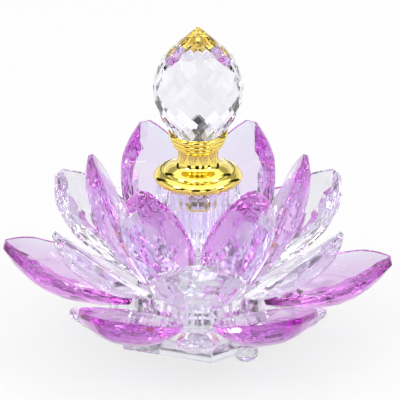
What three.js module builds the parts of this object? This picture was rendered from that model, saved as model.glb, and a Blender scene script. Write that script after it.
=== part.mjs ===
// Crystal lotus perfume bottle: a faceted glass bottle standing in four tiers of
// cut-glass petals, closed by a gilt screw cap with a crystal finial and a glass
// dip rod. Millimetres, +Z up, origin on the table under the bottle's axis.

import * as THREE from 'three';
import { ConvexGeometry } from 'three/addons/geometries/ConvexGeometry.js';

const DEG = Math.PI / 180;

// ---- driving dimensions ----------------------------------------------------

const GAP = 0.3; // clearance of glued or screwed neighbours

const FOOT_RADIUS = 3.1;
const FOOT_FLAT_RADIUS = 1.8;
const FOOT_HEIGHT = 2.2;
const FOOT_CIRCLE = 20.2;
const FOOT_AZIMUTHS = [68, 188, 308];

const PLATE_RADIUS = 25.0;
const PLATE_BOTTOM = FOOT_HEIGHT + GAP;
const PLATE_TOP = 6.5;
const PLATE_CHAMFER = 1.6;
const PLATE_TURN = 38.5;

const HUB_RADIUS = 16.6;
const HUB_TOP = 14.9;

const BOTTLE_SIDES = 12;
const BOTTLE_RADIUS = 8.0;
const BOTTLE_BOTTOM = PLATE_TOP + GAP;
const BOTTLE_TOP = 42.4;
const CAVITY_RADIUS = 4.4;
const CAVITY_BOTTOM = 21.5;

const NECK_RADIUS = 3.9;
const NECK_BORE = 3.1;
const NECK_FLANGE = 7.0;
const NECK_TOP = 49.2;
const WIPER_BORE = 1.8;
const WIPER_BOTTOM = 36.7;

const ROD_RADIUS = 1.4;
const ROD_BOTTOM = 29.0;
const ROD_TOP = 51.5;

const CAP_BOTTOM = 43.5;
const CAP_FLANGE_RADIUS = 11.5;
const CAP_WAIST_RADIUS = 5.3;
const CAP_RIM_RADIUS = 7.7;
const CAP_RIM = 57.4;
const CAP_BORE = 4.35;
const CAP_BORE_TOP = 52.5;
const CAP_CUP_FLOOR = 54.0;

const FINIAL_SIDES = 12;
const FINIAL_APEX = 86.4;

// Each tier of petals: where the flat inner face starts at the hub and how far
// out it ends, its slope, and the size of one petal across and through. The
// outline is half the leaf, root to tip, as fractions of length and half width.
const LEAF = [
  [0.0, 0.35], [0.25, 0.8], [0.5, 1.0], [0.74, 0.86], [0.85, 0.65], [0.93, 0.4], [1.0, 0.12],
];
const LOBE = [[0.0, 0.52], [0.78, 1.0], [0.92, 0.8], [1.0, 0.38]];
const TIERS = {
  upper: {
    material: 'violet', turn: 0, rootRadius: 12.5, rootHeight: 15.9, tipRadius: 27.2,
    slope: 67, width: 21.0, thickness: 6.4, rim: 1.7, outline: LEAF,
  },
  middle: {
    material: 'clear', turn: 30, rootRadius: 15.9, rootHeight: 16.2, tipRadius: 41.5,
    slope: 40, width: 24.5, thickness: 6.6, rim: 1.7, outline: LEAF,
  },
  lower: {
    material: 'violet', turn: 0, rootRadius: 17.1, rootHeight: 11.7, tipRadius: 50.0,
    slope: 20, width: 26.0, thickness: 7.0, rim: 1.8, outline: LEAF,
    handSet: { 0: -3, 3: 4 },
  },
  bottom: {
    material: 'clear', turn: 30, rootRadius: 17.4, rootHeight: 9.8, tipRadius: 37.0,
    slope: 11, width: 11.4, thickness: 4.0, rim: 1.4, outline: LOBE,
  },
};
const PETALS_PER_TIER = 6;

// ---- materials ---------------------------------------------------------------

const MATERIALS = {
  clear: new THREE.MeshStandardMaterial({ color: 0xe8e8ec, roughness: 0.04, metalness: 0 }),
  violet: new THREE.MeshStandardMaterial({ color: 0xc79be0, roughness: 0.04, metalness: 0 }),
  gold: new THREE.MeshStandardMaterial({ color: 0xe3b93f, roughness: 0.16, metalness: 1 }),
  plug: new THREE.MeshStandardMaterial({ color: 0xf1f1ee, roughness: 0.45, metalness: 0 }),
  foot: new THREE.MeshStandardMaterial({ color: 0xe4e6ea, roughness: 0.3, metalness: 0 }),
};

function addPart(group, name, geometry, material) {
  const mesh = new THREE.Mesh(geometry, MATERIALS[material].clone());
  mesh.name = name;
  group.add(mesh);
  return mesh;
}

// Revolve a closed [radius, height] outline about +Z, whichever way it is listed.
function turned(outline, segments) {
  const points = outline.map(([r, z]) => new THREE.Vector2(r, z));
  if (THREE.ShapeUtils.isClockWise(points)) points.reverse();
  if (points[0].x > 0) points.push(points[0].clone());
  return new THREE.LatheGeometry(points, segments).rotateX(Math.PI / 2);
}

// ---- petals --------------------------------------------------------------------

// Both halves of the leaf outline, as points in the plane of the inner face.
function petalOutline({ outline, width }, length) {
  const half = outline.map(([u, v]) => new THREE.Vector2(u * length, (v * width) / 2));
  const mirrored = half.map((p) => new THREE.Vector2(p.x, -p.y)).reverse();
  return [...half, ...mirrored];
}

// The outline drawn in towards the leaf's middle, each point half a step along.
function steppedIn(outline, scale, middle, stagger) {
  return outline.map((p, i) => {
    const next = outline[(i + 1) % outline.length];
    const q = stagger ? p.clone().lerp(next, 0.5) : p.clone();
    return q.sub(middle).multiplyScalar(scale).add(middle);
  });
}

// A cut leaf: flat inner face, upright rim, two rows of facets and a small table.
function petalGeometry(tier, length) {
  const { thickness, rim } = tier;
  const outline = petalOutline(tier, length);
  const middle = new THREE.Vector2(0.53 * length, 0);
  const loops = [
    [outline, 0],
    [outline, rim],
    [steppedIn(outline, 0.8, middle, true), 0.66 * thickness],
    [steppedIn(outline, 0.46, middle, false), thickness],
  ];
  const points = loops.flatMap(([loop, w]) => loop.map((p) => new THREE.Vector3(p.x, p.y, -w)));
  return new ConvexGeometry(points);
}

// Six petals round the axis; a holder turns each one, the petal itself leans out.
function addTier(group, name, tier) {
  for (let i = 0; i < PETALS_PER_TIER; i += 1) {
    const slope = (tier.slope + (tier.handSet?.[i] ?? 0)) * DEG;
    const length = (tier.tipRadius - tier.rootRadius) / Math.cos(slope);
    const holder = new THREE.Group();
    holder.rotation.z = (tier.turn + (i * 360) / PETALS_PER_TIER) * DEG;
    const geometry = petalGeometry(tier, length);
    const petal = addPart(holder, `petal_${name}_${i + 1}`, geometry, tier.material);
    petal.rotation.y = -slope;
    petal.position.set(tier.rootRadius, 0, tier.rootHeight);
    group.add(holder);
  }
}

// ---- stand -----------------------------------------------------------------------

function addFeet(group) {
  FOOT_AZIMUTHS.forEach((azimuth, i) => {
    const dome = turned([
      [0, 0], [FOOT_FLAT_RADIUS, 0], [2.5, 0.5], [2.95, 1.2],
      [FOOT_RADIUS, FOOT_HEIGHT], [0, FOOT_HEIGHT],
    ], 20);
    const foot = addPart(group, `foot_${i + 1}`, dome, 'foot');
    foot.position.set(
      FOOT_CIRCLE * Math.cos(azimuth * DEG), FOOT_CIRCLE * Math.sin(azimuth * DEG), 0,
    );
  });
}

function addPlate(group) {
  const plate = addPart(group, 'base_plate', turned([
    [0, PLATE_BOTTOM], [PLATE_RADIUS - 0.6, PLATE_BOTTOM], [PLATE_RADIUS, PLATE_BOTTOM + 0.6],
    [PLATE_RADIUS, PLATE_TOP - PLATE_CHAMFER], [PLATE_RADIUS - PLATE_CHAMFER, PLATE_TOP],
    [0, PLATE_TOP],
  ], 6), 'clear');
  plate.rotation.z = (PLATE_TURN + 30) * DEG;
}

function addHub(group) {
  const bore = BOTTLE_RADIUS + GAP + 0.1;
  addPart(group, 'petal_hub', turned([
    [bore, BOTTLE_BOTTOM], [HUB_RADIUS - 1.2, BOTTLE_BOTTOM], [HUB_RADIUS, BOTTLE_BOTTOM + 1.4],
    [HUB_RADIUS, HUB_TOP - 1.5], [HUB_RADIUS - 0.7, HUB_TOP], [bore, HUB_TOP],
  ], 24), 'clear');
}

// ---- bottle and neck -----------------------------------------------------------------

function addBottle(group) {
  addPart(group, 'bottle_body', turned([
    [0, BOTTLE_BOTTOM], [BOTTLE_RADIUS - 0.6, BOTTLE_BOTTOM], [BOTTLE_RADIUS, BOTTLE_BOTTOM + 0.6],
    [BOTTLE_RADIUS, BOTTLE_TOP - 0.8], [BOTTLE_RADIUS - 0.8, BOTTLE_TOP],
    [CAVITY_RADIUS, BOTTLE_TOP], [CAVITY_RADIUS, CAVITY_BOTTOM + 1.2],
    [CAVITY_RADIUS - 1.4, CAVITY_BOTTOM], [0, CAVITY_BOTTOM],
  ], BOTTLE_SIDES * 2), 'clear');
}

// A brass bush with a flange that sits on the bottle's lip, and a screwed neck
// that carries three thread rounds.
function addNeck(group) {
  const flangeBottom = BOTTLE_TOP + 0.1;
  const flangeTop = CAP_BOTTOM - 0.35;
  const thread = [0, 1, 2].flatMap((i) => {
    const z = flangeTop + 1.5 + i * 1.4;
    return [[NECK_RADIUS, z], [NECK_RADIUS + 0.15, z + 0.3], [NECK_RADIUS, z + 0.6]];
  });
  addPart(group, 'neck_bush', turned([
    [NECK_BORE, flangeBottom], [NECK_FLANGE, flangeBottom], [NECK_FLANGE, flangeTop],
    [NECK_RADIUS, flangeTop], ...thread, [NECK_RADIUS, NECK_TOP - 0.3],
    [NECK_RADIUS - 0.3, NECK_TOP], [NECK_BORE, NECK_TOP],
  ], 48), 'gold');
}

// The plug is held in the glass bore; its nozzle passes up through the bush.
function addWiper(group) {
  const plug = CAVITY_RADIUS - GAP;
  const nozzle = NECK_BORE - GAP;
  addPart(group, 'neck_wiper', turned([
    [WIPER_BORE, WIPER_BOTTOM], [plug - 0.4, WIPER_BOTTOM], [plug, WIPER_BOTTOM + 0.4],
    [plug, BOTTLE_TOP - 0.2], [nozzle, BOTTLE_TOP - 0.2], [nozzle, NECK_TOP + GAP],
    [NECK_RADIUS, NECK_TOP + GAP], [NECK_RADIUS, NECK_TOP + GAP + 0.6],
    [WIPER_BORE, NECK_TOP + GAP + 0.6],
  ], 32), 'plug');
}

// ---- cap and dip rod --------------------------------------------------------------------

function addRod(group) {
  addPart(group, 'dip_rod', turned([
    [0, ROD_BOTTOM], [0.6, ROD_BOTTOM + 0.15], [1.15, ROD_BOTTOM + 0.6],
    [ROD_RADIUS, ROD_BOTTOM + 1.4], [ROD_RADIUS, ROD_TOP], [0, ROD_TOP],
  ], 20), 'clear');
}

function addLiner(group) {
  const bore = ROD_RADIUS + GAP;
  const bottom = NECK_TOP + GAP + 0.9;
  addPart(group, 'cap_liner', turned([
    [0, ROD_TOP + GAP], [bore, ROD_TOP + GAP], [bore, bottom], [CAP_BORE - 0.35, bottom],
    [CAP_BORE - 0.35, CAP_BORE_TOP - GAP], [0, CAP_BORE_TOP - GAP],
  ], 32), 'plug');
}

// The turned cup with three ridges, the waist, its step, and the bulged flange.
function addCap(group) {
  addPart(group, 'cap_shell', turned([
    [0, CAP_CUP_FLOOR], [4.9, CAP_CUP_FLOOR], [7.3, CAP_RIM], [CAP_RIM_RADIUS, CAP_RIM],
    [7.65, 56.8], [7.3, 55.95], [6.9, 55.8], [7.1, 55.6], [6.75, 54.5], [6.3, 54.4],
    [6.5, 54.2], [6.15, 53.3], [5.75, 53.2], [5.5, 52.4],
    [CAP_WAIST_RADIUS, 51.4], [CAP_WAIST_RADIUS, 50.2], [5.7, 48.8], [6.6, 47.6], [7.6, 47.0],
    [7.8, 46.8], [7.8, 46.4], [8.4, 46.5], [9.6, 46.7], [10.4, 46.5], [11.1, 46.0],
    [CAP_FLANGE_RADIUS, 45.0], [11.2, 44.1], [10.5, 43.6], [9.8, CAP_BOTTOM],
    [CAP_BORE, CAP_BOTTOM], [CAP_BORE, CAP_BORE_TOP], [0, CAP_BORE_TOP],
  ], 56), 'gold');
}

// A cut drop: rings of points, each turned half a step from the one below, so
// that the hull closes them with rows of lozenges.
function addFinial(group) {
  const rings = [
    [4.4, 54.3], [6.9, 57.5], [9.9, 62.0], [11.6, 67.4], [11.5, 71.8], [9.9, 76.2],
    [7.1, 80.0],
  ];
  const points = [new THREE.Vector3(0, 0, FINIAL_APEX)];
  rings.forEach(([r, z], row) => {
    for (let i = 0; i < FINIAL_SIDES; i += 1) {
      const a = ((i + (row % 2) / 2) * 360 * DEG) / FINIAL_SIDES;
      points.push(new THREE.Vector3(r * Math.cos(a), r * Math.sin(a), z));
    }
  });
  addPart(group, 'cap_finial', new ConvexGeometry(points), 'clear');
}

// ---- assembly -------------------------------------------------------------------------------

const perfumeBottle = new THREE.Group();
perfumeBottle.name = 'lotus_perfume_bottle';

addFeet(perfumeBottle);
addPlate(perfumeBottle);
addHub(perfumeBottle);
for (const [name, tier] of Object.entries(TIERS)) addTier(perfumeBottle, name, tier);
addBottle(perfumeBottle);
addNeck(perfumeBottle);
addWiper(perfumeBottle);
addRod(perfumeBottle);
addLiner(perfumeBottle);
addCap(perfumeBottle);
addFinial(perfumeBottle);

export default perfumeBottle;
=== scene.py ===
"""Lotus perfume bottle in cut crystal: petals, stand, bottle, gilt cap, finial and stage."""

import math

import bpy
import numpy as np
from bpy.props import (
    EnumProperty, FloatProperty, FloatVectorProperty, IntProperty, PointerProperty,
)
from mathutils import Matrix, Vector


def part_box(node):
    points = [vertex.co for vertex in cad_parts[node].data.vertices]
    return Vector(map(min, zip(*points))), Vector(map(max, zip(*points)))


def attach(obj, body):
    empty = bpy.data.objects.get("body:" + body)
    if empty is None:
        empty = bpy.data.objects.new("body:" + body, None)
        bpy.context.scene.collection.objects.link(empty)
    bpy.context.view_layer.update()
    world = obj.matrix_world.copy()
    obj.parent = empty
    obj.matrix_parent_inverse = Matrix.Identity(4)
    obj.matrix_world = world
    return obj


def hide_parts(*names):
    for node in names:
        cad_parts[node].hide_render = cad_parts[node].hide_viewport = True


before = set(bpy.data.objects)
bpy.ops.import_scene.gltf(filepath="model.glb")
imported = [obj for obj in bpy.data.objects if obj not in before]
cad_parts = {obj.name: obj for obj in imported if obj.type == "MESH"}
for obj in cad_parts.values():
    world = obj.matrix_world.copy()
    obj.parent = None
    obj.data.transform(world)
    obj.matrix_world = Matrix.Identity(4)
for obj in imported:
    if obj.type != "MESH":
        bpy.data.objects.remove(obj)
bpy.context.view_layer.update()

bl_info = {
    "name": "Lotus perfume bottle",
    "version": (1, 0, 0),
    "blender": (4, 5, 0),
    "location": "3D View > Sidebar > Lotus",
    "description": "Builds a cut crystal lotus perfume bottle on a packed frame",
    "category": "Object",
}

MM = 0.001
ROOT = "flower_bottle"


# ---- colour and shader helpers -----------------------------------------------------------


def linear(hex_colour):
    """sRGB hex to linear RGB.

    c/12.92 up to 0.04045, else ((c + 0.055)/1.055) to the power 2.4.
    """
    srgb = np.array([int(hex_colour[i : i + 2], 16) for i in (1, 3, 5)]) / 255
    return tuple(np.where(srgb <= 0.04045, srgb / 12.92, ((srgb + 0.055) / 1.055) ** 2.4))


def rgba(colour):
    """A colour of three parts with a full alpha, as a colour socket takes it."""
    return (*colour, 1.0)


def add_node(tree, kind, settings=None, **links):
    """Adds a node. Settings are attributes or input values; links are input = (node, output)."""
    node = tree.nodes.new(kind)
    for key, value in (settings or {}).items():
        if key in node.inputs:
            node.inputs[key].default_value = value
        else:
            setattr(node, key, value)
    for key, (source, output) in links.items():
        tree.links.new(source.outputs[output], node.inputs[key.replace("_", " ")])
    return node


# The Mix node's sockets for colour: two inputs and an output
MIX_FIRST, MIX_SECOND, MIX_RESULT = 6, 7, 2


def mix_colours(tree, first, second, factor):
    """A mix of two colours by a factor = (node, output)."""
    mix = add_node(tree, "ShaderNodeMix", {"data_type": "RGBA"}, Factor=factor)
    mix.inputs[MIX_FIRST].default_value = rgba(first)
    mix.inputs[MIX_SECOND].default_value = rgba(second)
    return mix


def new_material(name):
    """A new material and its node tree, emptied."""
    material = bpy.data.materials.new(name)
    material.use_nodes = True
    material.node_tree.nodes.clear()
    return material, material.node_tree


def set_ramp(ramp_node, stops):
    """Sets a colour ramp's stops from (position, grey) pairs."""
    ramp = ramp_node.color_ramp
    while len(ramp.elements) < len(stops):
        ramp.elements.new(0.5)
    for element, (position, grey) in zip(ramp.elements, stops):
        element.position = position
        element.color = (grey, grey, grey, 1.0)


# ---- materials ---------------------------------------------------------------------------

CRYSTAL_IOR = 1.54
VIOLET_TINTS = (0.91, 0.97, 1.0), (0.87, 0.93, 0.99)
CLEAR_TINTS = linear("#FCFCFE"), linear("#F4F3FA")

# Scales of the patterns, per metre, and depths of the bumps
STRIAE = 250.0  # about 4 mm apart
POLISH_WAVES = 500.0  # about 2 mm apart
TURNING_LINES = 520.0  # 0.6 mm apart, so that they show; real ones are finer
LACQUER_PATCHES = 330.0  # about 3 mm across
TABLE_CLOUDS = 8.0  # about 125 mm across
POLISH_DEPTH = 0.02 * MM
GRAIN_DEPTH = 0.03 * MM

# How much duller and brighter than its mean a surface is in patches
DULLEST, SHINIEST = 1.5, 0.6


def cut_crystal(name, face_tint, streak_tint, stain, stain_depth, haze=0.0):
    """Lead-free crystal glass, pressed, cut and felt-polished.

    The eye sees sharp refraction and hard glints. Long paths through the stained glass go
    deep in colour, short ones stay pale. Faint striae tint it and the polish is a little wavy.
    Haze is the roughness that a quicker polish leaves: what shows through it is softer.
    """
    material, tree = new_material(name)
    place = add_node(tree, "ShaderNodeTexCoord")
    striae = add_node(
        tree, "ShaderNodeTexNoise", {"Scale": STRIAE, "Detail": 2.0}, Vector=(place, "Object")
    )
    tint = mix_colours(tree, face_tint, streak_tint, (striae, "Fac"))
    waves = add_node(
        tree,
        "ShaderNodeTexNoise",
        {"Scale": POLISH_WAVES, "Detail": 1.0},
        Vector=(place, "Object"),
    )
    wavy = add_node(
        tree, "ShaderNodeBump", {"Strength": 0.12, "Distance": POLISH_DEPTH}, Height=(waves, "Fac")
    )
    glass = add_node(
        tree,
        "ShaderNodeBsdfPrincipled",
        {"Roughness": haze, "IOR": CRYSTAL_IOR, "Transmission Weight": 1.0},
        Base_Color=(tint, MIX_RESULT),
        Normal=(wavy, "Normal"),
    )
    depth = add_node(
        tree, "ShaderNodeVolumeAbsorption", {"Color": rgba(stain), "Density": stain_depth}
    )
    add_node(
        tree, "ShaderNodeOutputMaterial", Surface=(glass, "BSDF"), Volume=(depth, "Volume")
    )
    return material


def gold_electroplate(name, colour, shade, polish):
    """Turned brass with a polished gold electroplate.

    The eye sees a mirror that is yellow all through, with faint turning lines round it and
    patches where the lacquer is a little duller.
    """
    material, tree = new_material(name)
    place = add_node(tree, "ShaderNodeTexCoord")
    turning = add_node(
        tree,
        "ShaderNodeTexWave",
        {"bands_direction": "Z", "Scale": TURNING_LINES, "Distortion": 1.5, "Detail": 1.0},
        Vector=(place, "Object"),
    )
    lines = add_node(
        tree,
        "ShaderNodeBump",
        {"Strength": 0.02, "Distance": POLISH_DEPTH},
        Height=(turning, "Fac"),
    )
    patches = add_node(
        tree,
        "ShaderNodeTexNoise",
        {"Scale": LACQUER_PATCHES, "Detail": 3.0},
        Vector=(place, "Object"),
    )
    dullness = add_node(
        tree,
        "ShaderNodeMapRange",
        {
            "From Min": 0.3,
            "From Max": 0.7,
            "To Min": polish * SHINIEST,
            "To Max": polish * DULLEST,
        },
        Value=(patches, "Fac"),
    )
    plate = mix_colours(tree, colour, shade, (patches, "Fac"))
    metal = add_node(
        tree,
        "ShaderNodeBsdfPrincipled",
        {"Metallic": 1.0},
        Base_Color=(plate, MIX_RESULT),
        Roughness=(dullness, "Result"),
        Normal=(lines, "Normal"),
    )
    add_node(tree, "ShaderNodeOutputMaterial", Surface=(metal, "BSDF"))
    return material


def clear_moulding(name, colour, shade, ior, gloss, grain):
    """Clear moulded plastic, such as a polypropylene plug or a polyurethane bumper.

    The eye sees glass with a soft skin: highlights blur and a fine moulded grain breaks them.
    """
    material, tree = new_material(name)
    place = add_node(tree, "ShaderNodeTexCoord")
    texture = add_node(
        tree, "ShaderNodeTexNoise", {"Scale": 1 / grain, "Detail": 3.0}, Vector=(place, "Object")
    )
    skin = add_node(
        tree,
        "ShaderNodeBump",
        {"Strength": 0.15, "Distance": GRAIN_DEPTH},
        Height=(texture, "Fac"),
    )
    dullness = add_node(
        tree,
        "ShaderNodeMapRange",
        {"To Min": gloss * SHINIEST, "To Max": gloss * DULLEST},
        Value=(texture, "Fac"),
    )
    body = mix_colours(tree, colour, shade, (texture, "Fac"))
    plastic = add_node(
        tree,
        "ShaderNodeBsdfPrincipled",
        {"IOR": ior, "Transmission Weight": 0.95},
        Base_Color=(body, MIX_RESULT),
        Roughness=(dullness, "Result"),
        Normal=(skin, "Normal"),
    )
    add_node(tree, "ShaderNodeOutputMaterial", Surface=(plastic, "BSDF"))
    return material


MATERIAL_NAMES = {
    "clear_crystal": "felt-polished clear crystal",
    "soft_clear_crystal": "fire-polished clear crystal",
    "violet_crystal": "felt-polished violet crystal",
    "deep_violet_crystal": "felt-polished deep violet crystal",
    "gilt_brass": "gold electroplate on turned brass",
    "sealing_plastic": "moulded polyethylene",
    "clear_bumper": "cast polyurethane",
}


def material_for(slot):
    """The material of one of the record's slots, or a kind of its glass, made once."""
    name = MATERIAL_NAMES[slot]
    if name in bpy.data.materials:
        return bpy.data.materials[name]
    glass, gilt = bpy.context.scene.lotus_glass, bpy.context.scene.lotus_gilt
    if slot in ("clear_crystal", "soft_clear_crystal"):
        haze = 0.0 if slot == "clear_crystal" else glass.fire_polish
        return cut_crystal(name, *CLEAR_TINTS, glass.clear_stain, glass.clear_depth, haze)
    if slot in ("violet_crystal", "deep_violet_crystal"):
        depth = glass.violet_depth if slot == "violet_crystal" else glass.deep_violet_depth
        return cut_crystal(name, *VIOLET_TINTS, glass.violet_stain, depth)
    if slot == "gilt_brass":
        return gold_electroplate(name, gilt.plate_colour, gilt.shade_colour, gilt.polish)
    if slot == "sealing_plastic":
        return clear_moulding(name, linear("#F8F7F4"), linear("#EFEDEA"), 1.49, 0.05, 0.0015)
    return clear_moulding(name, linear("#F4F5F8"), linear("#E6E8EE"), 1.5, 0.1, 0.001)


def cap_reflection_gold():
    """A clean gold mirror on glass or plastic: a painted reflection of the gilt cap's gold.

    The eye sees the cut facets above the finial's foot filled with bright and dark gold, a painted
    reflection of the gold cup.
    """
    name, gilt = "gold mirror for painted cap reflection", bpy.context.scene.lotus_gilt
    if name in bpy.data.materials:
        return bpy.data.materials[name]
    return gold_electroplate(name, gilt.plate_colour, gilt.shade_colour, gilt.polish / 3)


# ---- mesh helpers ------------------------------------------------------------------------

# Edges that turn by more than this many degrees get an arris
ARRIS_ANGLE = 6
# Points round a turned piece, and the angle in degrees over which its edges stay sharp
ROUND = 72
TURNED_EDGE = 25
# A radius below this, in millimetres, is on the axis
ON_AXIS = 1e-9


def outward(vertices, faces):
    """Turns every face round if the solid's signed volume is negative.

    The volume is the sum over each face's fan triangles of a . (b x c) / 6.
    """
    total = 0.0
    for group in faces:
        corners = vertices[group]
        a, b, c = corners[:, :1], corners[:, 1:-1], corners[:, 2:]
        total += np.einsum("fij,fij->", np.broadcast_to(a, b.shape), np.cross(b, c))
    return faces if total > 0 else [group[:, ::-1] for group in faces]


def make_piece(
    name, vertices, faces, body, slot, stands_for, sharp_angle=None, arris=0.0, glass=None
):
    """Makes a named object of a closed solid, in millimetres, and ties it to the frame.

    With a sharp_angle it is shaded smooth up to that angle; otherwise every facet is flat.
    The arris is the width of the narrow flat that polishing leaves on each edge. Glass names
    the material when it is not the slot's own.
    """
    faces = outward(vertices, faces)
    mesh = bpy.data.meshes.new(name)
    mesh.from_pydata((vertices * MM).tolist(), [], sum((f.tolist() for f in faces), []))
    mesh.validate()
    mesh.update()
    piece = bpy.data.objects.new(name, mesh)
    bpy.context.scene.collection.objects.link(piece)
    if sharp_angle is not None:
        mesh.polygons.foreach_set("use_smooth", np.ones(len(mesh.polygons), bool))
        mesh.set_sharp_from_angle(angle=math.radians(sharp_angle))
    if arris > 0:
        bevel = piece.modifiers.new("polished arris", "BEVEL")
        bevel.width = arris
        bevel.segments = 1
        bevel.limit_method = "ANGLE"
        bevel.angle_limit = math.radians(ARRIS_ANGLE)
    mesh.materials.append(material_for(glass or slot))
    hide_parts(*stands_for)
    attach(piece, body)
    return piece


def paint_cap_reflection(piece, bottom, top, radius):
    """Gives a gold mirror, a painted reflection of the gilt cap, to the faces whose centres lie
    between two heights and outside a radius.
    """
    piece.data.materials.append(cap_reflection_gold())
    centres = np.empty(3 * len(piece.data.polygons))
    piece.data.polygons.foreach_get("center", centres)
    x, y, z = centres.reshape(-1, 3).T / MM
    mirrored = (z > bottom) & (z < top) & (np.hypot(x, y) >= radius)
    piece.data.polygons.foreach_set("material_index", mirrored.astype(np.int32))


def smooth_curve(points, count):
    """A Catmull-Rom curve through the points, taken at count even steps of its parameter."""
    points = np.asarray(points, float)
    last = len(points) - 1
    t = np.linspace(0, last, count)
    i = np.minimum(t.astype(int), last - 1)
    f = (t - i)[:, None]
    p0, p1 = points[np.maximum(i - 1, 0)], points[i]
    p2, p3 = points[i + 1], points[np.minimum(i + 2, last)]
    return 0.5 * (
        2 * p1
        + (p2 - p0) * f
        + (2 * p0 - 5 * p1 + 4 * p2 - p3) * f**2
        + (3 * p1 - p0 - 3 * p2 + p3) * f**3
    )


def bead(radius, height, out, half, count=9):
    """A half-round ridge: radius + out cos a, height + half sin a, a from +80 to -80 degrees."""
    a = np.radians(np.linspace(80, -80, count))
    return np.column_stack((radius + out * np.cos(a), height + half * np.sin(a)))


def spun(profile, turns, flats=0, flat_rows=None):
    """Carries a (radius, height) profile round +Z and closes it.

    A point is (r k cos t, r k sin t, z). On flat_rows, k = cos(pi/n) / cos(t mod 2pi/n - pi/n),
    which draws an n-sided outline; elsewhere k is 1. Rows on the axis become one point. A
    profile that starts off the axis closes on itself.
    """
    profile = np.asarray(profile, float)
    t = np.arange(turns) * 2 * np.pi / turns
    k = np.ones((len(profile), turns))
    if flats:
        step = 2 * np.pi / flats
        sided = math.cos(step / 2) / np.cos(np.mod(t, step) - step / 2)
        k[np.asarray(flat_rows, bool)] = sided
    radius = profile[:, :1] * k
    grid = np.stack(
        (radius * np.cos(t), radius * np.sin(t), np.repeat(profile[:, 1:], turns, 1)), axis=-1
    )
    on_axis = profile[:, 0] < ON_AXIS
    index = np.arange(len(profile) * turns).reshape(len(profile), turns)
    index[on_axis] = index[on_axis][:, :1]
    rows = index if on_axis[0] else np.vstack((index, index[:1]))
    low, high = rows[:-1], rows[1:]
    quads = np.stack((low, np.roll(low, -1, 1), np.roll(high, -1, 1), high), axis=-1)
    quads = quads.reshape(-1, 4)
    flat_low, flat_high = quads[:, 0] == quads[:, 1], quads[:, 2] == quads[:, 3]
    faces = [
        quads[~flat_low & ~flat_high],
        quads[flat_low & ~flat_high][:, [0, 2, 3]],
        quads[flat_high & ~flat_low][:, [0, 1, 2]],
    ]
    return drop_unused(grid.reshape(-1, 3), [f for f in faces if len(f)])


def drop_unused(vertices, faces):
    """Leaves out the points that no face uses and renumbers the rest."""
    used = np.zeros(len(vertices), bool)
    for group in faces:
        used[group] = True
    number = np.cumsum(used) - 1
    return vertices[used], [number[group] for group in faces]


def facet_rows(count, staggered):
    """Faces between neighbouring rings of count points each.

    Two rings in step are joined by quads. A ring half a step on from its neighbour is joined
    by triangles: two points of one ring to the point that lies between them on the other.
    """
    i = np.arange(count)
    j = (i + 1) % count
    quads, triangles = [], []
    for row, (here, there) in enumerate(zip(staggered[:-1], staggered[1:])):
        low, high = row * count, (row + 1) * count
        if here == there:
            quads.append(np.column_stack((low + i, low + j, high + j, high + i)))
        elif there:
            triangles.append(np.column_stack((low + i, low + j, high + i)))
            triangles.append(np.column_stack((low + j, high + j, high + i)))
        else:
            triangles.append(np.column_stack((low + i, low + j, high + j)))
            triangles.append(np.column_stack((low + i, high + j, high + i)))
    return quads, triangles


# ---- sizes that a user would change ------------------------------------------------------


class LotusGlass(bpy.types.PropertyGroup):
    """Colours of the crystal and the way it is cut."""

    violet_stain: FloatVectorProperty(
        name="Violet stain",
        description="What a long path through the violet glass lets past",
        default=(0.83, 0.083, 0.80),
        min=0,
        max=1,
        subtype="COLOR",
    )
    violet_depth: FloatProperty(
        name="Violet depth",
        description="How fast the upper petals' violet glass deepens, per metre",
        default=30.0,
        min=0,
    )
    deep_violet_depth: FloatProperty(
        name="Deep violet depth",
        description="How fast the lower petals' violet glass deepens, per metre",
        default=58.0,
        min=0,
    )
    clear_stain: FloatVectorProperty(
        name="Clear stain",
        description="What a long path through the clear glass lets past",
        default=(0.86, 0.86, 0.92),
        min=0,
        max=1,
        subtype="COLOR",
    )
    clear_depth: FloatProperty(
        name="Clear depth",
        description="How fast the clear glass greys, per metre",
        default=12.0,
        min=0,
    )
    fire_polish: FloatProperty(
        name="Fire polish",
        description="Roughness of the fire-polished clear petals and stand",
        default=0.05,
        min=0,
        max=1,
        subtype="FACTOR",
    )
    arris: FloatProperty(
        name="Arris",
        description="Width of the polished flat on each cut edge",
        default=0.14 * MM,
        min=0,
        subtype="DISTANCE",
        unit="LENGTH",
    )
    facets_per_side: IntProperty(
        name="Facets per side",
        description="Facets along each long side of a petal",
        default=7,
        min=4,
        max=24,
    )
    finial_lozenges: IntProperty(
        name="Finial lozenges",
        description="Lozenges in each row round the finial",
        default=14,
        min=8,
        max=32,
    )


class LotusGilt(bpy.types.PropertyGroup):
    """Colour and polish of the gilt cap and neck."""

    plate_colour: FloatVectorProperty(
        name="Gold",
        description="Colour of the gold plate",
        default=linear("#FCEA80"),
        min=0,
        max=1,
        subtype="COLOR",
    )
    shade_colour: FloatVectorProperty(
        name="Gold shade",
        description="Colour of the plate where the lacquer is thicker",
        default=linear("#F3D862"),
        min=0,
        max=1,
        subtype="COLOR",
    )
    polish: FloatProperty(
        name="Polish",
        description="Roughness of the polished plate",
        default=0.06,
        min=0,
        max=1,
        subtype="FACTOR",
    )


class LotusStage(bpy.types.PropertyGroup):
    """Table, light and camera."""

    floor_colour: FloatVectorProperty(
        name="Table",
        description="Colour of the table top",
        default=(0.14, 0.14, 0.142),
        min=0,
        max=1,
        subtype="COLOR",
    )
    floor_glow: FloatProperty(
        name="Table light",
        description="How brightly the light table shines",
        default=0.77,
        min=0,
    )
    view_width: FloatProperty(
        name="View width",
        description="Width of what the camera sees at the bottle's axis",
        default=103.6 * MM,
        min=0,
        subtype="DISTANCE",
        unit="LENGTH",
    )
    elevation: FloatProperty(
        name="Elevation",
        description="Height of the camera above the horizon",
        default=math.radians(23),
        subtype="ANGLE",
        unit="ROTATION",
    )


# ---- petals ------------------------------------------------------------------------------

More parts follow.
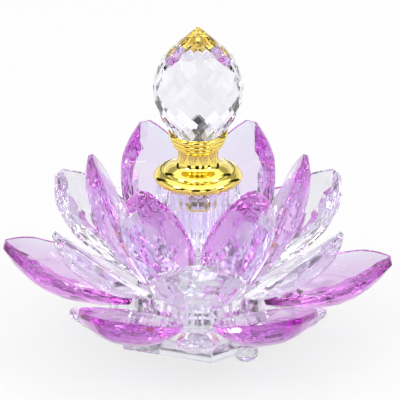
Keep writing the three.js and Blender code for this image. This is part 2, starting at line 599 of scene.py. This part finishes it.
LEAF = (
    (0.0, 0.35), (0.25, 0.8), (0.5, 1.0), (0.74, 0.86), (0.85, 0.65), (0.93, 0.4), (1.0, 0.12),
)
LOBE = ((0.0, 0.52), (0.4, 0.78), (0.78, 0.98), (0.92, 0.8), (1.0, 0.38))

# Each tier, in millimetres and degrees: half outline, first petal's azimuth, the flat inner
# face's start radius and height, its end radius, slope, the petal's width and thickness, its
# slot, and how far some petals lean from the tier's slope, as if set by hand.
TIERS = {
    "upper": (LEAF, 0, 12.5, 15.9, 27.2, 67, 21.0, 6.4, "violet_crystal", {}),
    "middle": (LEAF, 30, 15.9, 16.2, 41.5, 40, 24.5, 6.6, "clear_crystal", {}),
    "lower": (LEAF, 0, 17.1, 11.7, 50.0, 20, 26.0, 7.0, "violet_crystal", {0: -3, 3: 4}),
    "bottom": (LOBE, 30, 17.4, 9.8, 37.0, 11, 11.4, 4.0, "clear_crystal", {}),
}

# Rings of a petal from the flat inner face to the small table on its back: how far each is
# drawn in to the middle, and how deep it lies as a part of the thickness. The first two
# bound the rim and follow the outline closely; the others carry the facets. The middle is a
# part of the length from the root.
RIM_RINGS = ((1.0, 0.0), (1.0, 0.22))
FACET_RINGS = ((0.78, 0.6), (0.6, 0.8), (0.4, 0.94), (0.2, 1.0))
PETAL_MIDDLE = 0.53
PETALS = 6


def petal(outline, length, width, thickness, per_side):
    """A cut leaf lying along +X, its flat face up at z = 0.

    Ring k is the outline drawn in to the petal's middle by s_k, at depth d_k times the
    thickness. The rim takes every point of the outline; the facet rings take its odd and its
    even points by turns, so that triangles and flat lozenges lie between them.
    """
    half = smooth_curve(outline, 2 * per_side + 1) * (length, width / 2)
    around = np.vstack((half, half[::-1] * (1, -1)))
    middle = np.array((PETAL_MIDDLE * length, 0.0))
    rings = [(around, *ring) for ring in RIM_RINGS]
    rings += [(around[(k + 1) % 2 :: 2], *ring) for k, ring in enumerate(FACET_RINGS)]
    vertices = np.vstack(
        [
            np.column_stack(
                ((flat - middle) * scale + middle, np.full(len(flat), -depth * thickness))
            )
            for flat, scale, depth in rings
        ]
    )
    fine, count = len(around), len(around) // 2
    i = np.arange(fine)
    j = (i + 1) % fine
    rim = np.column_stack((i, j, fine + j, fine + i))
    k, first = np.arange(count), 2 * fine
    start, mid, end = fine + 2 * k, fine + 2 * k + 1, fine + (2 * k + 2) % fine
    here, following = first + k, first + (k + 1) % count
    fan = [
        np.column_stack((start, mid, here)),
        np.column_stack((mid, end, here)),
        np.column_stack((end, following, here)),
    ]
    _, facets = facet_rows(count, [step % 2 == 0 for step in range(len(FACET_RINGS))])
    triangles = np.vstack((*fan, *(first + group for group in facets)))
    table = first + count * (len(FACET_RINGS) - 1) + np.arange(count)
    return vertices, [rim, triangles, i[None, ::-1], table[None]]


def set_petal(vertices, azimuth, slope, radius, height):
    """Leans a petal up by its slope, moves its root out, and turns it round the axis."""
    x, y, z = vertices.T
    lean, turn = math.radians(slope), math.radians(azimuth)
    out = radius + x * math.cos(lean) - z * math.sin(lean)
    up = height + x * math.sin(lean) + z * math.cos(lean)
    return np.column_stack(
        (
            out * math.cos(turn) - y * math.sin(turn),
            out * math.sin(turn) + y * math.cos(turn),
            up,
        )
    )


# The kind of glass of each tier, where it is not the slot's own
TIER_GLASS = {
    "lower": "deep_violet_crystal", "middle": "soft_clear_crystal", "bottom": "soft_clear_crystal"
}


class LOTUS_OT_petals(bpy.types.Operator):
    """Builds the six cut petals of one tier"""

    bl_idname = "lotus.petals"
    bl_label = "Petals"

    tier: EnumProperty(
        name="Tier",
        description="Which tier of petals",
        items=[(t, t.capitalize(), f"The {t} tier") for t in TIERS],
    )

    def execute(self, context):
        glass = context.scene.lotus_glass
        outline, first, root, height, tip, slope, width, thickness, slot, set_by_hand = TIERS[
            self.tier
        ]
        for i in range(PETALS):
            leaning = slope + set_by_hand.get(i, 0)
            length = (tip - root) / math.cos(math.radians(leaning))
            vertices, faces = petal(outline, length, width, thickness, glass.facets_per_side)
            vertices = set_petal(vertices, first + 360 / PETALS * i, leaning, root, height)
            node = f"petal_{self.tier}_{i + 1}"
            make_piece(
                f"cut_{node}", vertices, faces, ROOT, slot, [node], arris=glass.arris,
                glass=TIER_GLASS.get(self.tier),
            )
        return {"FINISHED"}


# ---- stand -------------------------------------------------------------------------------

# Profiles as (radius, height) in millimetres
PLATE = ((0, 2.5), (24.5, 2.5), (25.0, 3.0), (25.0, 4.9), (23.4, 6.5), (0, 6.5))
PLATE_TURN = 38.5
HUB = ((8.4, 6.8), (15.4, 6.8), (16.6, 8.2), (16.6, 11.2), (15.9, 14.9), (8.4, 14.9))
HUB_SIDED = (False, True, True, True, True, False)
HUB_FLATS = 18
FOOT_TOP = 2.2
FOOT_DOME = ((3.1, FOOT_TOP), (3.0, 1.3), (2.6, 0.55), (1.8, 0.0))
FOOT_ROUND = 40


class LOTUS_OT_stand(bpy.types.Operator):
    """Builds the hexagonal plate, the petals' hub and the bumper feet"""

    bl_idname = "lotus.stand"
    bl_label = "Stand"

    def execute(self, context):
        arris = context.scene.lotus_glass.arris
        vertices, faces = spun(PLATE, 6)
        vertices = turn_about_axis(vertices, PLATE_TURN)
        make_piece(
            "plate_glass", vertices, faces, ROOT, "clear_crystal", ["base_plate"], arris=arris,
            glass="soft_clear_crystal",
        )

        vertices, faces = spun(HUB, ROUND, HUB_FLATS, HUB_SIDED)
        make_piece(
            "hub_glass", vertices, faces, ROOT, "clear_crystal", ["petal_hub"], sharp_angle=8,
            arris=arris, glass="soft_clear_crystal",
        )

        profile = np.vstack(((0, FOOT_TOP), smooth_curve(FOOT_DOME, 14), (0, 0.0)))
        for i in (1, 2, 3):
            low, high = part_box(f"foot_{i}")
            centre = (low + high) / 2 / MM
            vertices, faces = spun(profile, FOOT_ROUND)
            vertices = vertices + (centre.x, centre.y, 0)
            make_piece(
                f"bumper_{i}", vertices, faces, ROOT, "clear_bumper", [f"foot_{i}"],
                sharp_angle=40,
            )
        return {"FINISHED"}


def turn_about_axis(vertices, degrees):
    """Turns points about +Z: (x cos a - y sin a, x sin a + y cos a, z)."""
    a = math.radians(degrees)
    x, y, z = vertices.T
    return np.column_stack(
        (x * math.cos(a) - y * math.sin(a), x * math.sin(a) + y * math.cos(a), z)
    )


# ---- bottle and neck ---------------------------------------------------------------------

BOTTLE_FLATS = 12
# The bore ends in a rounded floor
BORE = 4.4
BORE_FLOOR = ((BORE, 23.2), (4.1, 22.3), (3.2, 21.7), (1.6, 21.5), (0, 21.5))
# The neck bush, in millimetres: radii of its bore, neck and flange; its thread's rounds
BUSH_BORE, BUSH_NECK, BUSH_FLANGE = 3.1, 3.88, 7.0
THREAD_START, THREAD_PITCH, THREAD_ROUNDS = 2.7, 1.4, 3
# The plug's radii, at its bore, its lower end, its body and its nozzle, and the height of its gold
# lower edge, a painted reflection of the gilt cap
PLUG_BORE, PLUG_END, PLUG_BODY, PLUG_NOZZLE = 1.8, 3.8, 4.1, 2.8
CAP_REFLECTION_RIM = 0.7


class LOTUS_OT_bottle(bpy.types.Operator):
    """Builds the twelve-sided glass tube with its round bore"""

    bl_idname = "lotus.bottle"
    bl_label = "Bottle"

    def execute(self, context):
        low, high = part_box("bottle_body")
        base, lip = low.z / MM, high.z / MM
        outside = [(0, base), (7.3, base), (8.0, base + 0.7), (8.0, lip - 0.9), (7.1, lip)]
        inside = np.vstack(((BORE, lip), smooth_curve(BORE_FLOOR, 13)))
        profile = np.vstack((outside, inside))
        sided = [False] + [True] * (len(outside) - 1) + [False] * len(inside)
        vertices, faces = spun(profile, ROUND, BOTTLE_FLATS, sided)
        make_piece(
            "bottle_glass", vertices, faces, ROOT, "clear_crystal", ["bottle_body"],
            sharp_angle=12, arris=context.scene.lotus_glass.arris,
        )
        return {"FINISHED"}


class LOTUS_OT_neck(bpy.types.Operator):
    """Builds the gilt screwed bush and the clear plug that wipes the rod"""

    bl_idname = "lotus.neck"
    bl_label = "Neck"

    def execute(self, context):
        low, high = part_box("neck_bush")
        seat, top = low.z / MM, high.z / MM
        threads = [
            bead(BUSH_NECK, seat + THREAD_START + THREAD_PITCH * i, 0.16, 0.35)[::-1]
            for i in range(THREAD_ROUNDS)
        ]
        flange = [
            (BUSH_BORE, seat), (BUSH_FLANGE - 0.15, seat), (BUSH_FLANGE, seat + 0.15),
            (BUSH_FLANGE, seat + 0.65), (BUSH_NECK, seat + 0.65),
        ]
        end = [(BUSH_NECK, top - 0.3), (3.6, top), (BUSH_BORE, top)]
        bush = np.vstack((flange, *threads, end))
        vertices, faces = spun(bush, ROUND)
        make_piece("neck_gilt", vertices, faces, ROOT, "gilt_brass", ["neck_bush"], TURNED_EDGE)

        low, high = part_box("neck_wiper")
        foot, head = low.z / MM, high.z / MM
        plug = [
            (PLUG_BORE, foot), (PLUG_END, foot), (PLUG_BODY, foot + 0.3),
            (PLUG_BODY, foot + CAP_REFLECTION_RIM), (PLUG_BODY, foot + 5.4), (PLUG_NOZZLE, foot + 5.5),
            (PLUG_NOZZLE, head - 0.6), (3.75, head - 0.6), (3.9, head - 0.45),
            (3.9, head - 0.1), (3.8, head), (PLUG_BORE, head),
        ]
        vertices, faces = spun(plug, ROUND)
        piece = make_piece(
            "wiper_plug", vertices, faces, ROOT, "sealing_plastic", ["neck_wiper"], TURNED_EDGE
        )
        # the rim of its lower end gets a gold mirror: a painted reflection of the gilt cap
        paint_cap_reflection(piece, foot, foot + CAP_REFLECTION_RIM, PLUG_END)
        return {"FINISHED"}


# ---- rod and cap -------------------------------------------------------------------------

ROD_RADIUS, ROD_ROUND = 1.4, 36
LINER_BORE, LINER_RADIUS, LINER_ROUND = 1.7, 4.0, 60


class LOTUS_OT_rod(bpy.types.Operator):
    """Builds the glass dip rod and the liner that holds it"""

    bl_idname = "lotus.rod"
    bl_label = "Dip rod"

    def execute(self, context):
        low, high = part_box("dip_rod")
        tip, top = low.z / MM, high.z / MM
        end = smooth_curve(
            [(0, tip), (0.8, tip + 0.25), (1.3, tip + 0.9), (ROD_RADIUS, tip + 1.9)], 13
        )
        rod = np.vstack((end, [(ROD_RADIUS, top - 0.2), (ROD_RADIUS - 0.2, top), (0, top)]))
        vertices, faces = spun(rod, ROD_ROUND)
        make_piece(
            "rod_glass", vertices, faces, "applicator", "clear_crystal", ["dip_rod"],
            sharp_angle=35,
        )

        low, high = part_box("cap_liner")
        under, over = low.z / MM, high.z / MM
        liner = [
            (0, over - 0.4), (LINER_BORE, over - 0.4), (LINER_BORE, under),
            (LINER_RADIUS - 0.15, under), (LINER_RADIUS, under + 0.15),
            (LINER_RADIUS, over - 0.15), (LINER_RADIUS - 0.15, over), (0, over),
        ]
        vertices, faces = spun(liner, LINER_ROUND)
        make_piece(
            "liner_disc", vertices, faces, "applicator", "sealing_plastic", ["cap_liner"],
            TURNED_EDGE,
        )
        return {"FINISHED"}


# The cap from its cup down to its flange, as (radius, height) in millimetres. The ridges are
# radius, height, how far they stand out and half their width.
CUP = ((0, 54.0), (4.9, 54.0), (7.25, 57.3), (7.35, 57.4), (7.55, 57.4), (7.68, 57.28))
RIDGES = ((7.22, 56.45, 0.43, 0.66), (6.72, 55.1, 0.4, 0.64), (6.16, 53.88, 0.36, 0.54))
WAIST = (
    (5.75, 53.3), (5.5, 52.5), (5.3, 51.4), (5.3, 50.3), (5.55, 49.2), (6.2, 48.4),
    (7.1, 47.95), (8.0, 47.55), (8.7, 47.05), (9.05, 46.6),
)
FLANGE = (
    (9.1, 46.5), (9.6, 46.6), (10.3, 46.4), (11.0, 45.9), (11.4, 45.3), (11.46, 44.8),
    (11.2, 44.15), (10.6, 43.65), (9.8, 43.5),
)
CAP_BORE = ((4.35, 43.5), (4.35, 52.5), (0, 52.5))
CAP_ROUND = 160


class LOTUS_OT_cap(bpy.types.Operator):
    """Builds the gilt cap: ridged cup, waist, step and bulged flange"""

    bl_idname = "lotus.cap"
    bl_label = "Cap"

    def execute(self, context):
        ridges = [bead(*ridge) for ridge in RIDGES]
        waist, flange = smooth_curve(WAIST, 34), smooth_curve(FLANGE, 34)
        profile = np.vstack((CUP, *ridges, waist, flange, CAP_BORE))
        vertices, faces = spun(profile, CAP_ROUND)
        make_piece(
            "cap_gilt", vertices, faces, "cap", "gilt_brass", ["cap_shell"], sharp_angle=28
        )
        return {"FINISHED"}


# ---- finial ------------------------------------------------------------------------------

# Radius and height of the finial's foot, and of its outline from the cup's rim to the cone.
# The second ring of lozenge corners is FIRST_STEP above the first.
FOOT = (4.4, 54.3)
FIRST_STEP = 4.0
DROP = (
    (6.9, 57.2), (8.9, 60.2), (10.5, 63.2), (11.45, 66.6), (11.7, 69.4), (11.3, 72.4),
    (10.1, 75.7), (8.6, 78.2), (7.1, 80.0),
)


def lozenge_rings(count):
    """Rings of a drop whose lozenges are flat.

    A lozenge spans rings k and k+2 and touches ring k+1 at half a step on each side. It is
    flat when (r cos(pi/n), z) of ring k+1 lies on the line from ring k to ring k+2, so each
    new ring is where that line meets the drop's outline again.
    """
    outline = smooth_curve(DROP, 1200)
    draw_in = math.cos(math.pi / count)
    rings = [outline[0], outline[np.searchsorted(outline[:, 1], outline[0, 1] + FIRST_STEP)]]
    while True:
        start, via = rings[-2], rings[-1] * (draw_in, 1)
        along = via - start
        ahead = outline[outline[:, 1] > rings[-1][1] + 0.3]
        side = along[0] * (ahead[:, 1] - start[1]) - along[1] * (ahead[:, 0] - start[0])
        crossing = np.flatnonzero(np.sign(side[:-1]) != np.sign(side[1:]))
        if not len(crossing):
            return np.array(rings)
        rings.append(ahead[crossing[0]])


class LOTUS_OT_finial(bpy.types.Operator):
    """Builds the crystal finial, cut in rows of flat lozenges under a pointed cone"""

    bl_idname = "lotus.finial"
    bl_label = "Finial"

    def execute(self, context):
        glass = context.scene.lotus_glass
        count = glass.finial_lozenges
        rings = np.vstack((FOOT, lozenge_rings(count)))
        staggered = [False] + [bool(k % 2) for k in range(len(rings) - 1)]
        t = (np.arange(count) + 0.5 * np.array(staggered)[:, None]) * 2 * np.pi / count
        r, z = rings[:, :1], rings[:, 1:]
        body = np.stack((r * np.cos(t), r * np.sin(t), np.repeat(z, count, 1)), axis=-1)
        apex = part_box("cap_finial")[1].z / MM
        vertices = np.vstack((body.reshape(-1, 3), (0, 0, apex)))
        foot, triangles = facet_rows(count, staggered)
        top = count * (len(rings) - 1) + np.arange(count)
        cone = np.column_stack((top, np.roll(top, -1), np.full(count, len(vertices) - 1)))
        under = np.arange(count)[None, ::-1]
        faces = [np.vstack(foot), np.vstack((*triangles, cone)), under]
        piece = make_piece(
            "finial_crystal", vertices, faces, "cap", "clear_crystal", ["cap_finial"],
            arris=glass.arris / 3,
        )
        # the foot that stands in the cup gets a gold mirror, seen from inside the crystal: a
        # painted reflection of the gold cup
        paint_cap_reflection(piece, 0.0, DROP[0][1], 0.0)
        return {"FINISHED"}


# ---- stage -------------------------------------------------------------------------------

# Brightness of the studio from the table (0) to straight up (1), and round it from -X
# (0) through -Y (0.25), +X (0.5) and +Y (0.75).
UPWARD_LIGHT = (
    (0.0, 1.05), (0.2, 1.05), (0.28, 0.8), (0.42, 0.8), (0.46, 0.4), (0.64, 0.4), (0.7, 1.6),
    (1.0, 1.6),
)
WALL_LIGHT = (
    (0.0, 1.1), (0.08, 1.1), (0.09, 0.04), (0.14, 0.04), (0.15, 1.6), (0.2, 1.6),
    (0.21, 0.02), (0.26, 0.02), (0.27, 1.6), (0.3, 1.6), (0.31, 0.02), (0.34, 0.02),
    (0.35, 1.6), (0.39, 1.6), (0.4, 0.04), (0.43, 0.04), (0.44, 1.1), (0.56, 1.1),
    (0.57, 0.03), (0.61, 0.03), (0.62, 1.1), (0.74, 1.1), (0.75, 0.05), (0.77, 0.05),
    (0.78, 1.1), (0.87, 1.1), (0.88, 0.03), (0.92, 0.03), (0.93, 1.1), (1.0, 1.1),
)
# The walls fade out between these sines of the height, some 38 to 53 degrees up
WALL_FADE = (0.62, 0.8)

# Name, azimuth and elevation in degrees, side in metres, and power in watts
SOFTBOXES = (
    ("softbox_left", 205, 42, 0.3, 3.0),
    ("softbox_right", 335, 36, 0.3, 3.0),
    ("softbox_front", 250, 55, 0.16, 1.0),
    ("softbox_back", 80, 55, 0.25, 2.0),
)
SOFTBOX_DISTANCE = 1.2
SOFTBOX_AIM = (0.0, 0.0, 40.0 * MM)

TABLE_REACH = 4.0
# Millimetres of lens and sensor: a long lens, for a flat view
LENS, SENSOR = 600.0, 36.0
CAMERA_AIM = (0.5 * MM, 0.0, 38.0 * MM)
CLIP_END = 20.0
BOUNCES, GLOSSY_BOUNCES = 32, 16


def table_material(colour, glow):
    """Opal acrylic light table, cast and matted: white through and through, faintly clouded.

    The eye sees an even white that is partly its own light, so shadows on it stay faint.
    """
    material, tree = new_material("matted opal acrylic")
    place = add_node(tree, "ShaderNodeTexCoord")
    cloud = add_node(
        tree,
        "ShaderNodeTexNoise",
        {"Scale": TABLE_CLOUDS, "Detail": 2.0},
        Vector=(place, "Object"),
    )
    opal = mix_colours(tree, colour, np.array(colour) * 0.985, (cloud, "Fac"))
    acrylic = add_node(
        tree,
        "ShaderNodeBsdfPrincipled",
        {
            "Roughness": 0.8,
            "IOR": 1.49,
            "Specular IOR Level": 0.1,
            "Emission Color": (1.0, 1.0, 1.0, 1.0),
            "Emission Strength": glow,
        },
        Base_Color=(opal, MIX_RESULT),
    )
    add_node(tree, "ShaderNodeOutputMaterial", Surface=(acrylic, "BSDF"))
    return material


def studio_world():
    """A pale studio: white round the horizon and overhead, grey in between with dark gaps."""
    world = bpy.data.worlds.new("studio")
    world.use_nodes = True
    tree = world.node_tree
    tree.nodes.clear()
    place = add_node(tree, "ShaderNodeTexCoord")
    height = add_node(tree, "ShaderNodeSeparateXYZ", Vector=(place, "Generated"))
    upward = add_node(tree, "ShaderNodeValToRGB", Fac=(height, "Z"))
    set_ramp(upward, UPWARD_LIGHT)
    around = add_node(
        tree, "ShaderNodeTexGradient", {"gradient_type": "RADIAL"}, Vector=(place, "Generated")
    )
    walls = add_node(tree, "ShaderNodeValToRGB", Fac=(around, "Fac"))
    set_ramp(walls, WALL_LIGHT)
    # the walls stand on the table; the ceiling above them is even
    reach = add_node(
        tree,
        "ShaderNodeMapRange",
        {"From Min": WALL_FADE[0], "From Max": WALL_FADE[1]},
        Value=(height, "Z"),
    )
    level = mix_colours(tree, (1.0, 1.0, 1.0), (1.0, 1.0, 1.0), (reach, "Result"))
    tree.links.new(walls.outputs["Color"], level.inputs[MIX_FIRST])
    both = add_node(tree, "ShaderNodeMix", {"data_type": "RGBA", "blend_type": "MULTIPLY"})
    both.inputs["Factor"].default_value = 1.0
    tree.links.new(upward.outputs["Color"], both.inputs[MIX_FIRST])
    tree.links.new(level.outputs[MIX_RESULT], both.inputs[MIX_SECOND])
    light = add_node(
        tree, "ShaderNodeBackground", {"Strength": 1.0}, Color=(both, MIX_RESULT)
    )
    add_node(tree, "ShaderNodeOutputWorld", Surface=(light, "Background"))
    return world


def softbox(name, azimuth, elevation, size, power):
    """A square area light aimed at the bottle from a direction round it."""
    a, e = math.radians(azimuth), math.radians(elevation)
    lamp = bpy.data.lights.new(name, "AREA")
    lamp.shape, lamp.size, lamp.energy = "SQUARE", size, power
    holder = bpy.data.objects.new(name, lamp)
    aim = Vector((math.cos(a) * math.cos(e), math.sin(a) * math.cos(e), math.sin(e)))
    holder.location = aim * SOFTBOX_DISTANCE + Vector(SOFTBOX_AIM)
    holder.rotation_euler = aim.to_track_quat("Z", "Y").to_euler()
    bpy.context.scene.collection.objects.link(holder)


class LOTUS_OT_stage(bpy.types.Operator):
    """Builds the table, the studio light and the camera"""

    bl_idname = "lotus.stage"
    bl_label = "Stage"

    def execute(self, context):
        scene, stage = context.scene, context.scene.lotus_stage
        corners = np.array([(-1, -1, 0), (1, -1, 0), (1, 1, 0), (-1, 1, 0)]) * TABLE_REACH
        mesh = bpy.data.meshes.new("table")
        mesh.from_pydata(corners.tolist(), [], [(0, 1, 2, 3)])
        mesh.materials.append(table_material(stage.floor_colour, stage.floor_glow))
        table = bpy.data.objects.new("table", mesh)
        scene.collection.objects.link(table)

        scene.world = studio_world()
        for box in SOFTBOXES:
            softbox(*box)

        camera = bpy.data.cameras.new("camera")
        camera.lens, camera.sensor_width = LENS, SENSOR
        camera.clip_end = CLIP_END
        away = stage.view_width * LENS / SENSOR
        e = stage.elevation
        back = Vector((0, -math.cos(e), math.sin(e)))
        holder = bpy.data.objects.new("camera", camera)
        holder.location = Vector(CAMERA_AIM) + back * away
        holder.rotation_euler = back.to_track_quat("Z", "Y").to_euler()
        scene.collection.objects.link(holder)
        scene.camera = holder
        scene.view_settings.view_transform = "Standard"
        # light crosses many petals, so it needs many bounces
        scene.cycles.max_bounces = BOUNCES
        scene.cycles.transmission_bounces = BOUNCES
        scene.cycles.glossy_bounces = GLOSSY_BOUNCES
        return {"FINISHED"}


# ---- panel and registration --------------------------------------------------------------


class LOTUS_PT_panel(bpy.types.Panel):
    """Lists the pieces and their sizes in the sidebar"""

    bl_idname = "LOTUS_PT_panel"
    bl_label = "Lotus perfume bottle"
    bl_space_type = "VIEW_3D"
    bl_region_type = "UI"
    bl_category = "Lotus"

    def draw(self, context):
        column = self.layout.column()
        for group in (
            context.scene.lotus_glass, context.scene.lotus_gilt, context.scene.lotus_stage
        ):
            for name in group.__annotations__:
                column.prop(group, name)
        for tier in TIERS:
            column.operator("lotus.petals", text=f"Petals, {tier}").tier = tier
        for piece in ("stand", "bottle", "neck", "rod", "cap", "finial", "stage"):
            column.operator(f"lotus.{piece}")


CLASSES = (
    LotusGlass, LotusGilt, LotusStage, LOTUS_OT_petals, LOTUS_OT_stand, LOTUS_OT_bottle,
    LOTUS_OT_neck, LOTUS_OT_rod, LOTUS_OT_cap, LOTUS_OT_finial, LOTUS_OT_stage, LOTUS_PT_panel,
)


def register():
    for cls in CLASSES:
        bpy.utils.register_class(cls)
    bpy.types.Scene.lotus_glass = PointerProperty(type=LotusGlass)
    bpy.types.Scene.lotus_gilt = PointerProperty(type=LotusGilt)
    bpy.types.Scene.lotus_stage = PointerProperty(type=LotusStage)


def unregister():
    del bpy.types.Scene.lotus_stage
    del bpy.types.Scene.lotus_gilt
    del bpy.types.Scene.lotus_glass
    for cls in reversed(CLASSES):
        bpy.utils.unregister_class(cls)


def main():
    register()
    bpy.ops.lotus.stage()
    for tier in TIERS:
        bpy.ops.lotus.petals(tier=tier)
    bpy.ops.lotus.stand()
    bpy.ops.lotus.bottle()
    bpy.ops.lotus.neck()
    bpy.ops.lotus.rod()
    bpy.ops.lotus.cap()
    bpy.ops.lotus.finial()


if __name__ == "__main__":
    main()
